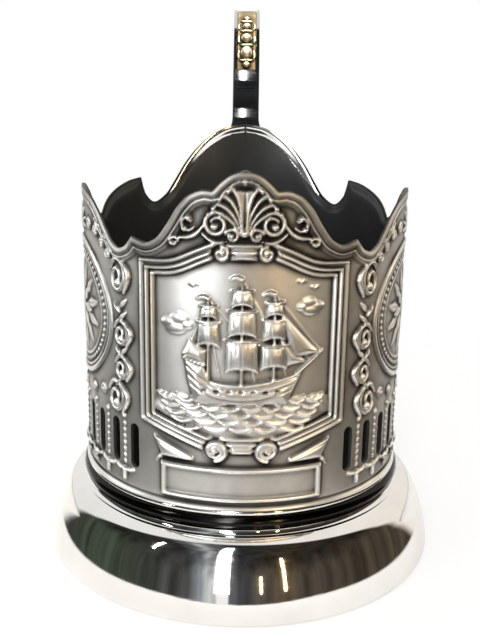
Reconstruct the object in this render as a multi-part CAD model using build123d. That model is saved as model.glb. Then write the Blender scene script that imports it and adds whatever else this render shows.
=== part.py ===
"""Podstakannik: a footed, pierced metal holder for a tea glass, built from soldered pieces.

Millimetres, +Z up, the foot stands on Z = 0 round the Z axis. The picture panel faces -Y and
the handle is at +Y. Angles on the wall run from the panel (0) round to the handle (180).
"""
import os
from math import cos, radians, sin

from build123d import *

# Glass well
BORE_R = 34.2           # inside of the wall, for a glass of about 67.5 mm
SHEET = 0.8
WALL_R = BORE_R + SHEET

# Stack of the base, from the table up
FOOT_H = 17.2
NECK_H = 2.9
PLATE_T = 1.1
PLATE_Z = FOOT_H + NECK_H
WALL_Z = PLATE_Z + PLATE_T

# Floor plate
LIP = 0.6               # edge of the plate, past the wall
LIP_ROUND = 0.45
SEAT_IN = 1.7           # rim of the sunken seat, inside the bore
SEAT_DROP = 0.5
SPIGOT = 0.3            # the dish reaches this far down into the neck ring
SPIGOT_WALL = 0.5
SPIGOT_GAP = 0.15
SEAT_R = BORE_R - SEAT_IN
SPIGOT_R = SEAT_R + SPIGOT_WALL

# Neck ring
NECK_OUT = 1.3          # widest, past the wall
NECK_END = 0.4          # top and bottom, past the wall

# Foot
FOOT_OUT = 9.1          # widest, past the wall
FOOT_T = 0.9
FLANGE = 3.0            # flange under the neck ring, inside the bore
COLLAR = 0.9            # past the wall
COVE = 1.0              # hollow between the collar and the shoulder
ROLL = 0.7              # rounding down to the table
TREAD = 0.9             # flat ring on the table
FOOT_R = WALL_R + FOOT_OUT
# shoulder between the hollow and the rounding, as shares of the way out and of the height
SHOULDER_SHARES = [(0.32, 0.915), (0.55, 0.755), (0.745, 0.545), (0.9, 0.3), (0.975, 0.125)]

# Wall and rim
WALL_H = 68.6           # to the front peak of the rim
RIM_BORDER = 2.2        # raised border that follows the rim
RIM_RELIEF = 0.6
SEAM = 0.5              # solder line at the back
SIDE = 77.1             # angle of the side arches and their medallions
# runs of the rim, as (angle, height over the front peak), with corners only where runs meet
RIM_FRONT = [(0, 0), (4, -0.75), (7.5, -2.3), (10, -3.9)]
RIM_SHOULDER = [(10, -3.9), (12.5, -3.8), (17, -4.7), (21, -7.1), (25, -10.9), (29, -13.8),
                (33, -14.8), (38.5, -14.1)]
RIM_SIDE = [(38.5, -14.1), (42, -16.4), (45, -17), (48, -16.2), (52, -13.7), (57, -10.5),
            (63, -8.4), (70, -7.6), (SIDE, -7.4)]
RIM_LOBE = [(2 * SIDE - 45, -17), (112.5, -14.7), (117, -12.9), (123, -11.5), (129, -10.6),
            (134, -10.3)]
RIM_BACK = [(134, -10.3), (136, -14.2), (141, -16.7), (146, -15.2), (150, -12.1), (155, -7.6),
            (160, -4.1), (166, -1.1), (173, 1), (180, 1.7)]
REACH = 3.0             # rim cutters run this far past the wall on both sides

# Pierced slots, in a row under each side medallion
SLOTS = 9
SLOT_FIRST = 38.7
SLOT_W = 2.4
SLOT_H = 9.8
SLOT_UP = 10.5          # middle of the row, over the bottom of the wall

# Mouldings pressed out of the wall, with heights over the bottom of the wall
RELIEF = 0.7
CREST = 0.4             # ridge standing on a moulding
PANEL_W = 20.2          # half width
PANEL_TOP = [(1.0, 50.6), (0.7, 51.3), (0.47, 53.4), (0.32, 54.8)]
PANEL_FOOT = [(1.0, 17.3), (0.7, 15.2), (0.36, 12.8)]
PANEL_BAND = 2.9
PANEL_CREST = (0.9, 1.9)
OVAL_A, OVAL_B, OVAL_BAND = 16.7, 15.0, 1.7
OVAL_UP = 35.8
PLAQUE_W, PLAQUE_H, PLAQUE_BAND = 32.4, 7.7, 1.1
PLAQUE_UP = 5.6
TAIL = [(-17.9, 14.8), (-9.4, 11.2), (-9.4, 10.0), (-15.6, 10.0), (-17.7, 8.4), (-16.2, 11.0)]
SCROLLS = [(4.3, 52.9, 1.6), (5.0, 13.0, 2.4)]
KNOT_W, KNOT_H, KNOT_UP = 4.2, 2.6, 13.6

# Ornament in low relief, with heights over the bottom of the wall
CARVING = 0.8
# palmette over the panel: lobes as (lean from upright, length), and its curls
LOBE_UP = 56.4
LOBE_NEAR, LOBE_HALF = 1.6, 0.9
LOBES = [(-34, 8.4), (-17, 9.0), (0, 9.3), (17, 9.0), (34, 8.4)]
CURLS = [(2.75, 56.7, 1.4), (5.9, 58.6, 1.9)]
# leaf scrolls beside each medallion, as (angle, up, half width, half height)
LEAVES = [(45.3, 45.8, 1.9, 3.3), (43.9, 34.1, 1.7, 2.5), (43.9, 26.7, 1.6, 2.3), (47.2, 20.2, 2.3, 3.3)]
# rosette in each medallion
PETALS = 8
PETAL_NEAR, PETAL_FAR, PETAL_HALF = 2.6, 10.4, 1.7
BOSS_R = 1.8
# sailing ship in the panel
SEA_UP, SEA_RELIEF, SEA_UNDER = 23.6, 0.3, 0.5
HULL = [(-11.4, 31.8), (-9.4, 22.8), (8.8, 22.8), (11.9, 29.7), (0.0, 27.2), (-6.2, 27.7), (-7.3, 30.5)]
# sails as (mast, head, foot, half widths of head and foot)
SAILS = [(-6.6, 39.4, 34.0, 1.9, 2.35), (-6.6, 42.5, 39.9, 1.35, 1.75),
         (-0.2, 35.8, 29.1, 3.0, 3.3), (-0.2, 41.7, 36.3, 2.4, 2.95), (-0.2, 45.7, 42.2, 1.7, 2.3),
         (6.0, 35.0, 29.6, 2.4, 2.5), (6.0, 39.9, 35.5, 2.0, 2.3), (6.0, 43.4, 40.4, 1.4, 1.9)]
JIBS = [[(8.4, 40.6), (14.9, 33.0), (10.2, 32.0)], [(-7.6, 33.4), (-7.6, 31.2), (-11.9, 32.6), (-10.3, 36.0)]]

# Handle
LUG_T = 1.2
LUG_W = 9.0
LUG_H = 11.0
LUG_ROUND = 2.5
LUG_DROP = 8.6          # middle of the upper saddle, under the front peak of the rim
LUG_LOW = 12.3          # middle of the lower saddle, over the bottom of the wall
BAND_W = 6.6
BAND_T = 2.2
RAIL = 0.8              # raised edges of the band
CHANNEL = 0.45
FLARE_W = 9.0           # root of the band, seen over the back of the rim
FLARE_DROP = 1.6        # its lower edge, under the front peak
FLARE_H = 5.0
# centre line, out from the wall: first over the front peak, then over the bottom of the wall
LINE_HIGH = [(1.9, -13.1), (2.0, -8.6), (2.6, -2.6), (4.2, 3.4), (7.4, 11.4), (12.4, 20.4), (17.8, 26.2),
             (23.6, 28.1), (29.2, 24.8), (32.2, 16.4), (31.6, 3.4)]
LINE_LOW = [(27.2, 54.0), (20.6, 36.0), (13.0, 22.4), (6.2, 15.0), (0.0, 11.4)]
REST = (0.158, 0.318)   # stretch of the line under the thumb rest
REST_T = 0.8
REST_GAP = 0.1          # at each side
REST_SEAT = 0.2         # solder under the rest
BULBS = [(0.17, 0.8), (0.19, 1.3), (0.215, 1.9), (0.243, 1.7), (0.268, 1.35), (0.288, 1.0), (0.303, 0.7)]


def on_wall(angle, z, r):
    a = radians(angle)
    return (r * sin(a), -r * cos(a), z)


def ring(inner, outer, z0, z1):
    tube = Cylinder(outer, z1 - z0) - Cylinder(inner, z1 - z0)
    return Pos(0, 0, (z0 + z1) / 2) * tube


def rim_runs():
    """The rim once round."""
    side = RIM_SIDE + [(2 * SIDE - a, h) for a, h in reversed(RIM_SIDE[2:-1])]
    runs = [[(-a, h) for a, h in reversed(RIM_FRONT[1:])] + RIM_FRONT]
    for run in (RIM_SHOULDER, side, RIM_LOBE):
        runs += [run, [(-a, h) for a, h in reversed(run)]]
    return runs + [RIM_BACK + [(360 - a, h) for a, h in reversed(RIM_BACK[:-1])]]


def rim_cutters(drop, height):
    """Blocks on the line of the rim, lowered by drop, that run up (or down, if height is negative)."""
    top = WALL_Z + WALL_H - drop
    blocks = []
    for run in rim_runs():
        near = Spline(*[on_wall(a, top + h, BORE_R - REACH) for a, h in run])
        far = Spline(*[on_wall(a, top + h, WALL_R + REACH) for a, h in run])
        skin = Face.make_surface_from_curves(near, far)
        blocks.append(Solid.extrude(skin, Vector(0, 0, height)))
    return blocks


def pressed(outline, angle, height):
    """A flat outline (across, up) pressed out of the wall at an angle."""
    block = extrude(Plane.XZ * outline, amount=WALL_R + REACH)
    band = ring(BORE_R + SHEET / 2, WALL_R + height, WALL_Z, WALL_Z + WALL_H)
    return Rot(0, 0, angle) * (block & band)


def panel(inset):
    share = 1 - inset / PANEL_W
    z = WALL_Z
    head = [(x * PANEL_W * share, z + h - inset) for x, h in PANEL_TOP]
    foot = [(x * PANEL_W * share, z + h + inset) for x, h in PANEL_FOOT]

    def flip(pts):
        return [(-x, y) for x, y in pts]

    return make_face([
        Spline(*head), Line(head[-1], flip(head)[-1]), Spline(*flip(head)), Line(flip(head)[0], flip(foot)[0]),
        Spline(*flip(foot)), Line(flip(foot)[-1], foot[-1]), Spline(*foot), Line(foot[0], head[0])])


def outline(points):
    return make_face(Polyline(*points, close=True))


def leaf(near, far, half):
    """A pointed leaf that stands upright over the origin, widest past its middle."""
    wide = near + 0.6 * (far - near)
    return outline([(0, near), (half, wide), (0, far), (-half, wide)])


def ship():
    """Hull and sails."""
    sails = [[(m - a, head), (m + a, head), (m + b, foot), (m - b, foot)] for m, head, foot, a, b in SAILS]
    return [Pos(0, WALL_Z) * outline(points) for points in [HULL] + sails + JIBS]


def palmette():
    """Lobes that fan out over the panel, and the curls on both sides of them."""
    base = Pos(0, WALL_Z + LOBE_UP)
    lobes = [base * Rot(0, 0, lean) * leaf(LOBE_NEAR, length, LOBE_HALF) for lean, length in LOBES]
    return lobes + [Pos(way * x, WALL_Z + up) * Circle(r) for x, up, r in CURLS for way in (-1, 1)]


def rosette():
    """Petals round a boss."""
    petal = leaf(PETAL_NEAR, PETAL_FAR, PETAL_HALF)
    middle = Pos(0, WALL_Z + OVAL_UP)
    return [middle * Circle(BOSS_R)] + [middle * Rot(0, 0, 360 * k / PETALS) * petal for k in range(PETALS)]


def leaf_scroll(up, half, tall):
    corners = [(0, tall), (half, tall / 2), (half, -tall / 2)]
    return Pos(0, WALL_Z + up) * outline(corners + [(-x, -y) for x, y in corners])


def turned(pieces):
    return revolve(Plane.XZ * make_face(pieces), Axis.Z)


def line_at(u):
    """Point on the handle's centre line and the way out of the loop there, in (Y, Z)."""
    p, t = CENTRE @ u, CENTRE % u
    return (p.Y, p.Z), (-t.Z, t.Y)


def strip(u0, u1, low, high, width, count=36):
    """A strip along the handle, between two distances out from its centre line."""
    rows = []
    for side in (low, high):
        places = [line_at(u0 + (u1 - u0) * i / count) for i in range(count + 1)]
        rows.append([(0, y + side * ny, z + side * nz) for (y, z), (ny, nz) in places])
    face = make_face([Spline(*rows[0]), Line(rows[0][-1], rows[1][-1]), Spline(*rows[1]),
                      Line(rows[0][0], rows[1][0])])
    return extrude(face, amount=width / 2, both=True, dir=(1, 0, 0))


peak = WALL_Z + WALL_H

# Wall: rolled tube with its mouldings, cut to the rim, pierced, and parted at the seam
wall = ring(BORE_R, WALL_R, WALL_Z, peak + REACH)
border = ring(BORE_R + SHEET / 2, WALL_R + RIM_RELIEF, WALL_Z + WALL_H / 2, peak + REACH)
for block in rim_cutters(RIM_BORDER, -WALL_H):
    border -= block
wall += border
wall += pressed(panel(0) - panel(PANEL_BAND), 0, RELIEF)
wall += pressed(panel(PANEL_CREST[0]) - panel(PANEL_CREST[1]), 0, RELIEF + CREST)
oval = Ellipse(OVAL_A, OVAL_B) - Ellipse(OVAL_A - OVAL_BAND, OVAL_B - OVAL_BAND)
plaque = Rectangle(PLAQUE_W, PLAQUE_H) - Rectangle(PLAQUE_W - 2 * PLAQUE_BAND, PLAQUE_H - 2 * PLAQUE_BAND)
wall += pressed(Pos(0, WALL_Z + PLAQUE_UP) * plaque, 0, RELIEF)
wall += pressed(Pos(0, WALL_Z + KNOT_UP) * Rectangle(KNOT_W, KNOT_H), 0, RELIEF + CREST)
for way in (-1, 1):
    wall += pressed(Pos(0, WALL_Z + OVAL_UP) * oval, way * SIDE, RELIEF)
    wall += pressed(make_face(Polyline(*[(way * x, WALL_Z + z) for x, z in TAIL], close=True)), 0, RELIEF)
    for x, z, r in SCROLLS:
        wall += pressed(Pos(way * x, WALL_Z + z) * Circle(r), 0, RELIEF + CREST)
sea = panel(PANEL_BAND - SEA_UNDER) & Pos(0, WALL_Z) * Rectangle(2 * PANEL_W, 2 * SEA_UP)
carving = [pressed(sea, 0, SEA_RELIEF)]
carving += [pressed(shape, 0, CARVING) for shape in ship() + palmette()]
for way in (-1, 1):
    carving += [pressed(shape, way * SIDE, CARVING) for shape in rosette()]
    for angle, up, half, tall in LEAVES:
        carving += [pressed(leaf_scroll(up, half, tall), way * a, CARVING) for a in (angle, 2 * SIDE - angle)]
wall += carving
for block in rim_cutters(0, 2 * REACH + RIM_BORDER + WALL_H / 2):
    wall -= block
step = 2 * (SIDE - SLOT_FIRST) / (SLOTS - 1)
slot = Pos(0, WALL_Z + SLOT_UP) * SlotOverall(SLOT_H, SLOT_W, rotation=90)
for way in (-1, 1):
    for k in range(SLOTS):
        wall -= Rot(0, 0, way * (SLOT_FIRST + k * step)) * extrude(Plane.XZ * slot, amount=WALL_R + REACH)
parting = Pos(0, WALL_R, WALL_Z + WALL_H / 2) * Box(SEAM, 2 * REACH, 2 * WALL_H)
sleeve = wall - parting
sleeve_seam = wall & parting

# Floor plate, with its dish let into the neck ring
lip_r = WALL_R + LIP
seat_z = WALL_Z - SEAT_DROP
floor_plate = turned(Polyline(
    (0, PLATE_Z - SPIGOT), (SPIGOT_R, PLATE_Z - SPIGOT), (SPIGOT_R, PLATE_Z), (lip_r, PLATE_Z),
    (lip_r, WALL_Z), (SEAT_R, WALL_Z), (SEAT_R, seat_z), (0, seat_z), close=True))
rounded = [e for e in floor_plate.edges().filter_by(GeomType.CIRCLE) if abs(e.radius - lip_r) < LIP / 2]
floor_plate = fillet(rounded, LIP_ROUND)

# Neck ring
neck_in = SPIGOT_R + SPIGOT_GAP
neck_end = WALL_R + NECK_END
neck_ring = turned([
    Line((neck_in, FOOT_H), (neck_in, PLATE_Z)), Line((neck_in, PLATE_Z), (neck_end, PLATE_Z)),
    ThreePointArc((neck_end, PLATE_Z), (WALL_R + NECK_OUT, FOOT_H + NECK_H / 2), (neck_end, FOOT_H)),
    Line((neck_end, FOOT_H), (neck_in, FOOT_H))])

# Foot: a bell of even thickness with a thicker edge on the table
collar_r = WALL_R + COLLAR
cove_r = collar_r + COVE
cove_z = FOOT_H - COVE
outer = [(cove_r + (FOOT_R - cove_r) * s, cove_z * h) for s, h in SHOULDER_SHARES]
shoulder = Spline((cove_r, cove_z), *outer, (FOOT_R, ROLL), tangents=[(1, -0.03), (0, -1)])
inner = []
for i in range(9):
    p, t = shoulder @ (i / 9), shoulder % (i / 9)
    inner.append((p.X + FOOT_T * t.Y, p.Y - FOOT_T * t.X))
flange_r = BORE_R - FLANGE
tread = (FOOT_R - ROLL - TREAD, 0)
foot = turned([
    Line((flange_r, FOOT_H), (collar_r, FOOT_H)),
    ThreePointArc((collar_r, FOOT_H), (cove_r - COVE * cos(radians(45)), FOOT_H - COVE * sin(radians(45))),
                  (cove_r, cove_z)),
    shoulder,
    ThreePointArc((FOOT_R, ROLL), (FOOT_R - ROLL * (1 - cos(radians(45))), ROLL * (1 - sin(radians(45)))),
                  (FOOT_R - ROLL, 0)),
    Line((FOOT_R - ROLL, 0), tread), Spline(tread, *reversed(inner)),
    Line(inner[0], (flange_r, inner[0][1])), Line((flange_r, inner[0][1]), (flange_r, FOOT_H))])

# Handle: saddles soldered to the wall, the band bent between them, and the thumb rest in its channel
saddle = ring(WALL_R, WALL_R + LUG_T, WALL_Z, peak)
saddle_face = RectangleRounded(LUG_W, LUG_H, LUG_ROUND)
upper_lug = extrude(Plane.XZ * Pos(0, peak - LUG_DROP) * saddle_face, amount=-2 * WALL_R) & saddle
lower_lug = extrude(Plane.XZ * Pos(0, WALL_Z + LUG_LOW) * saddle_face, amount=-2 * WALL_R) & saddle
CENTRE = Spline(*[(0, WALL_R + out, peak + up) for out, up in LINE_HIGH],
                *[(0, WALL_R + out, WALL_Z + up) for out, up in LINE_LOW])
band = strip(0, 1, -BAND_T / 2, BAND_T / 2, BAND_W)
flare_z = peak - FLARE_DROP
wide, slim = FLARE_W / 2, BAND_W / 2
flare = make_face([
    Line((-wide, flare_z), (wide, flare_z)),
    ThreePointArc((wide, flare_z), (slim + (wide - slim) * 0.25, flare_z + FLARE_H * 0.5), (slim, flare_z + FLARE_H)),
    Line((slim, flare_z + FLARE_H), (-slim, flare_z + FLARE_H)),
    ThreePointArc((-slim, flare_z + FLARE_H), (-slim - (wide - slim) * 0.25, flare_z + FLARE_H * 0.5),
                  (-wide, flare_z))])
band += extrude(Plane.XZ * flare, amount=-2 * WALL_R) & strip(0, 0.3, -BAND_T / 2, BAND_T / 2, FLARE_W)
band -= strip(0.1, 0.96, BAND_T / 2 - CHANNEL, BAND_T, BAND_W - 2 * RAIL)
handle_band = band - Pos(0, 0, WALL_Z + WALL_H / 2) * Cylinder(WALL_R + LUG_T, 2 * WALL_H)
bed = BAND_T / 2 - CHANNEL + REST_SEAT
thumb_rest = strip(REST[0], REST[1], bed, bed + REST_T, BAND_W - 2 * (RAIL + REST_GAP), 12)
for u, r in BULBS:
    (y, z), (ny, nz) = line_at(u)
    middle = bed + REST_T / 2
    bulb = Sphere(r, arc_size1=0, align=(Align.CENTER, Align.CENTER, Align.MIN))
    thumb_rest += Plane((0, y + middle * ny, z + middle * nz), z_dir=(0, ny, nz)) * bulb

os.makedirs("parts", exist_ok=True)
for name, piece in {
    "sleeve": sleeve, "sleeve_seam": sleeve_seam, "floor_plate": floor_plate, "neck_ring": neck_ring,
    "foot": foot, "upper_lug": upper_lug, "lower_lug": lower_lug, "handle_band": handle_band,
    "thumb_rest": thumb_rest,
}.items():
    export_step(piece, f"parts/{name}.step")
    print(name, len(piece.solids()), round(piece.volume, 2), piece.bounding_box())
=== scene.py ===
"""Looks of the podstakannik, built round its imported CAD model.

Lengths are in mm until a mesh is made, and in metres on the stage. Angles are in degrees from the front.
"""
from math import cos, degrees, pi, radians, sin

import bpy
import numpy as np
from mathutils import Matrix, Vector


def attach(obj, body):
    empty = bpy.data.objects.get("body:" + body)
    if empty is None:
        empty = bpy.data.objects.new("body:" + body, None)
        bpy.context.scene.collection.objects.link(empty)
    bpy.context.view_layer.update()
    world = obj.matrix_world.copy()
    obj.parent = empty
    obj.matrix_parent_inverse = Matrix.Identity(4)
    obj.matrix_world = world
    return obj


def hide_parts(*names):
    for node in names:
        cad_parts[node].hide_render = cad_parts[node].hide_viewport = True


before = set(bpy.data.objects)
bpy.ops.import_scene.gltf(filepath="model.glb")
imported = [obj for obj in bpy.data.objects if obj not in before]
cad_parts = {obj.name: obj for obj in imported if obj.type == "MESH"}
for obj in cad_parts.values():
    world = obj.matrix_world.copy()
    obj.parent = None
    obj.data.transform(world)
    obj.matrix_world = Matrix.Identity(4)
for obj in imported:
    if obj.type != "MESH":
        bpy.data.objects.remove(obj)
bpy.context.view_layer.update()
scene = bpy.context.scene
MM = 0.001

# Sizes that repeat the CAD model's
BORE_R, WALL_R = 34.2, 35.0
WALL_Z, PEAK_Z = 21.2, 89.8
FOOT_H, PLATE_Z = 17.2, 20.1
LUG_R = 36.2
SIDE = 77.1  # angle of a side medallion's middle
SEAM = 0.5
RIM_RUNS = [  # stretches between the rim's corners: angle, height against the front peak
    [(0, 0), (4, -0.75), (7.5, -2.3), (10, -3.9)],
    [(10, -3.9), (12.5, -3.8), (17, -4.7), (21, -7.1), (25, -10.9), (29, -13.8), (33, -14.8), (38.5, -14.1)],
    [(38.5, -14.1), (42, -16.4), (45, -17), (48, -16.2), (52, -13.7), (57, -10.5), (63, -8.4), (70, -7.6),
     (SIDE, -7.4), (84.2, -7.6), (91.2, -8.4), (97.2, -10.5), (102.2, -13.7), (106.2, -16.2), (109.2, -17)],
    [(109.2, -17), (112.5, -14.7), (117, -12.9), (123, -11.5), (129, -10.6), (134, -10.3)],
    [(134, -10.3), (136, -14.2), (141, -16.7), (146, -15.2), (150, -12.1), (155, -7.6), (160, -4.1),
     (166, -1.1), (173, 1), (180, 1.7)],
]
RIM_CORNERS = [run[-1][0] for run in RIM_RUNS[:-1]] + [RIM_RUNS[-1][1][0]]
SLOT_COUNT, SLOT_FIRST = 9, 38.7
SLOT_STEP = 2 * (SIDE - SLOT_FIRST) / (SLOT_COUNT - 1)
SLOT_R, SLOT_HALF, SLOT_MID = 1.2, 3.7, WALL_Z + 10.5
PANEL_W = 20.2
PANEL_TOP = [(1, 50.6), (0.7, 51.3), (0.47, 53.4), (0.32, 54.8)]  # share of the half width, height
PANEL_FOOT = [(1, 17.3), (0.7, 15.2), (0.36, 12.8)]
FOOT_R, FOOT_SHEET, FLANGE_R = WALL_R + 9.1, 0.9, 31.2
NECK_R, NECK_BORE, NECK_BULGE = WALL_R + 1.3, 33.15, 0.9
LIP_R, SPIGOT_R, SPIGOT_H = WALL_R + 0.6, 33.0, 0.3
SEAT_R, SEAT_DROP = 32.5, 0.5
HANDLE_LINE = [  # out from the wall, up from its foot
    (1.9, 55.5), (2, 60), (2.6, 66), (4.2, 72), (7.4, 80), (12.4, 89), (17.8, 94.8),
    (23.6, 96.7), (29.2, 93.4), (32.2, 85), (31.6, 72), (27.2, 54), (20.6, 36), (13, 22.4),
    (6.2, 15), (0, 11.4)]
BAND_W, BAND_T, RAIL, CHANNEL = 6.6, 2.2, 0.8, 0.45
ROOT_W, ROOT_LOW, ROOT_HIGH = 9.0, WALL_Z + 66.5, WALL_Z + 72.0  # flared root, and where it narrows
REST_SPAN, REST_W = (0.158, 0.318), 2.4  # shares of the handle's length, half width

# Mesh of the wall
GRID = 0.3  # spacing of the points
ZONES = ((56, 0.65), (122, 1.0), (180 - degrees(SEAM / 2 / WALL_R), 1.9))  # end, column width in GRIDs
ROW = 0.78  # row height in GRIDs
SPLIT_Z, UPPER = 70.0, 21  # where level rows end, and about how far the rows above it rise to the rim
FINE, BROAD = [max(1, int(reach / GRID)) for reach in (0.6, 1.5)]  # blurs round small and large shapes


# Small maths

def smooth(a, b, x):
    """0 at a and 1 at b, with soft ends."""
    t = np.clip((x - a) / (b - a), 0, 1)
    return t * t * (3 - 2 * t)


def rounded(q):
    """A round top's height at the squared distance q from its middle."""
    return np.sqrt(np.clip(1 - q, 0, 1))


def monotone(xs, ys, x):
    """A curve through the points that never overshoots them."""
    xs, ys = np.array(xs, float), np.array(ys, float)
    h, d = np.diff(xs), np.diff(ys) / np.diff(xs)
    m = np.zeros(len(xs))
    for i in range(1, len(xs) - 1):
        if d[i - 1] * d[i] > 0:
            w1, w2 = 2 * h[i] + h[i - 1], h[i] + 2 * h[i - 1]
            m[i] = (w1 + w2) / (w1 / d[i - 1] + w2 / d[i])
    m[0], m[-1] = d[0], d[-1]
    k = np.clip(np.searchsorted(xs, x) - 1, 0, len(h) - 1)
    t = (x - xs[k]) / h[k]
    return ((2 * t**3 - 3 * t**2 + 1) * ys[k] + (t**3 - 2 * t**2 + t) * h[k] * m[k]
            + (3 * t**2 - 2 * t**3) * ys[k + 1] + (t**3 - t**2) * h[k] * m[k + 1])


def lengths_along(pts):
    """Length of a line up to each of its points."""
    return np.concatenate([[0], np.cumsum(np.hypot(*np.diff(pts, axis=0).T))])


def through(pts, count, per_span=24):
    """Points spread evenly along a smooth line through pts."""
    p = np.array(pts, float)
    q = np.vstack([2 * p[0] - p[1], p, 2 * p[-1] - p[-2]])
    t = np.linspace(0, 1, per_span, endpoint=False)[:, None]
    spans = []
    for a, b, c, d in zip(q, q[1:], q[2:], q[3:]):
        bend = (2 * a - 5 * b + 4 * c - d) * t**2 + (3 * b - a - 3 * c + d) * t**3
        spans.append(0.5 * (2 * b + (c - a) * t + bend))
    line = np.vstack(spans + [p[-1:]])
    far = lengths_along(line)
    want = np.linspace(0, far[-1], count)
    return np.column_stack([np.interp(want, far, line[:, k]) for k in range(2)])


def spiral(x, z, r0, r1, a0, a1, count=40, squash=1.0):
    """A curl about (x, z) from radius r0 at angle a0 to r1 at a1."""
    a = np.radians(np.linspace(a0, a1, count))
    r = np.linspace(r0, r1, count)
    return np.column_stack([x + r * np.cos(a), z + squash * r * np.sin(a)])


def arc(x, z, r, a0, a1, count):
    return spiral(x, z, r, r, a0, a1, count)


def rim_height(angle):
    a = np.abs(angle)
    z = np.zeros_like(a)
    for run in RIM_RUNS:
        here = (a >= run[0][0]) & (a <= run[-1][0])
        z[here] = monotone(*zip(*run), a[here])
    return PEAK_Z + z


# Meshes

def placed(name, data):
    obj = bpy.data.objects.new(name, data)
    scene.collection.objects.link(obj)
    return obj


def quads(index):
    """Faces between the points of a grid, from the numbers of its points."""
    return np.stack([index[:-1, :-1], index[1:, :-1], index[1:, 1:], index[:-1, 1:]], -1)


def new_object(name, verts, faces, mats, sharp, kinds=None, tone=None):
    """A smooth mesh, with each face's material and the finish's tone at each point where given."""
    mesh = bpy.data.meshes.new(name)
    faces = np.asarray(faces, dtype=np.int32)
    mesh.vertices.add(len(verts))
    mesh.vertices.foreach_set("co", (np.asarray(verts, np.float32) * MM).ravel())
    mesh.loops.add(faces.size)
    mesh.loops.foreach_set("vertex_index", faces.ravel())
    mesh.polygons.add(len(faces))
    mesh.polygons.foreach_set("loop_start", np.arange(0, faces.size, faces.shape[1], dtype=np.int32))
    mesh.update(calc_edges=True)
    for m in mats:
        mesh.materials.append(m)
    if kinds is not None:
        mesh.polygons.foreach_set("material_index", np.asarray(kinds, np.int32))
    mesh.polygons.foreach_set("use_smooth", np.ones(len(faces), bool))
    mesh.validate()
    mesh.set_sharp_from_angle(angle=radians(sharp))
    if tone is not None:
        layer = mesh.attributes.new("tone", "FLOAT", "POINT")
        layer.data.foreach_set("value", np.asarray(tone, np.float32))
    return placed(name, mesh)


def lathe(name, profile, mat, steps, axis_r=0.02):
    """Turns a closed (r, z) outline round the axis. Points on the axis are pulled out a little."""
    p = np.array(profile, float)
    a = np.linspace(0, 2 * pi, steps, endpoint=False)
    r = np.maximum(p[:, 0], axis_r)
    verts = np.stack([np.outer(np.sin(a), r), np.outer(-np.cos(a), r), np.tile(p[:, 1], (steps, 1))], -1)
    index = np.arange(steps * len(p)).reshape(steps, len(p))
    faces = quads(np.pad(index, (0, 1), mode="wrap").T).reshape(-1, 4)
    return new_object(name, verts.reshape(-1, 3), faces, [mat], 40)


# Materials

class Graph:
    """Adds nodes to a material or the world. Inputs take sockets or plain values."""

    def __init__(self, tree):
        self.nodes, self.links = tree.nodes, tree.links

    def fill(self, node, inputs):
        for key, value in inputs.items():
            if isinstance(value, bpy.types.NodeSocket):
                self.links.new(value, node.inputs[key])
            else:
                node.inputs[key].default_value = value

    def node(self, kind, inputs=None, **settings):
        node = self.nodes.new("ShaderNode" + kind)
        for key, value in settings.items():
            setattr(node, key, value)
        self.fill(node, inputs or {})
        return node

    def maths(self, kind, *values):
        return self.node("Math", dict(enumerate(values)), operation=kind).outputs[0]

    def split(self, vector):
        return self.node("SeparateXYZ", {0: vector}).outputs

    def step(self, value, low, high, start=0.0, end=1.0, soft=True):
        """start at low and end at high, whichever of low and high is the greater."""
        if low > high:
            low, high, start, end = high, low, end, start
        inputs = {"Value": value, "From Min": low, "From Max": high, "To Min": start, "To Max": end}
        kind = "SMOOTHSTEP" if soft else "LINEAR"
        return self.node("MapRange", inputs, interpolation_type=kind).outputs[0]

    def ramp(self, value, stops):
        node = self.node("ValToRGB", {"Fac": value})
        elements = node.color_ramp.elements
        while len(elements) < len(stops):
            elements.new(0.5)
        for element, (pos, colour) in zip(elements, stops):
            element.position = pos
            element.color = (*colour, 1)
        return node.outputs["Color"]

    def noise(self, scale, detail, stretch=(1, 1, 1)):
        where = self.node("TexCoord").outputs["Object"]
        turned = self.node("Mapping", {"Vector": where, "Scale": stretch}).outputs["Vector"]
        return self.node("TexNoise", {"Vector": turned, "Scale": scale, "Detail": detail}).outputs["Fac"]

    def bump(self, height, strength, depth):
        inputs = {"Height": height, "Strength": strength, "Distance": depth}
        return self.node("Bump", inputs).outputs["Normal"]

    def mix(self, share, a, b):
        return self.node("Mix", {"Factor": share, "A": a, "B": b}, data_type="RGBA").outputs["Result"]

    def blend(self, share, a, b):
        return self.node("MixShader", {"Fac": share, 1: a, 2: b}).outputs[0]


def material(name):
    m = bpy.data.materials.new(name)
    m.use_nodes = True
    g = Graph(m.node_tree)
    return m, g, g.nodes["Principled BSDF"]


def grey(value):
    return (value, value, value)


WHITE = (1, 1, 1, 1)
PATINA = [(0, (0.012, 0.011, 0.01)), (0.3, (0.085, 0.08, 0.074)), (0.62, (0.4, 0.385, 0.36)),
          (1.0, (0.83, 0.815, 0.79))]
PATINA_ROUGH = [(0.0, grey(0.55)), (0.6, grey(0.45)), (1.0, grey(0.36))]
STAIN, CLOUDING, STAIN_SHIFT = 0.22, 0.18, 0.2


def blackened():
    """Plated metal, satin and worn bright on the high places, black in the hollows."""
    m, g, bsdf = material("blackened_plate")
    tone = g.node("Attribute", attribute_name="tone").outputs["Fac"]
    clouded = g.maths("MULTIPLY_ADD", g.noise(55.0, 3.0), CLOUDING, tone)
    stained = g.maths("MULTIPLY_ADD", g.noise(260.0, 6.0), STAIN, clouded)
    level = g.maths("SUBTRACT", stained, STAIN_SHIFT)
    g.fill(bsdf, {
        "Base Color": g.ramp(level, PATINA), "Roughness": g.ramp(level, PATINA_ROUGH),
        "Normal": g.bump(g.noise(1500.0, 2.0), 0.12, 0.00006), "Metallic": 1.0})
    return m


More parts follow.
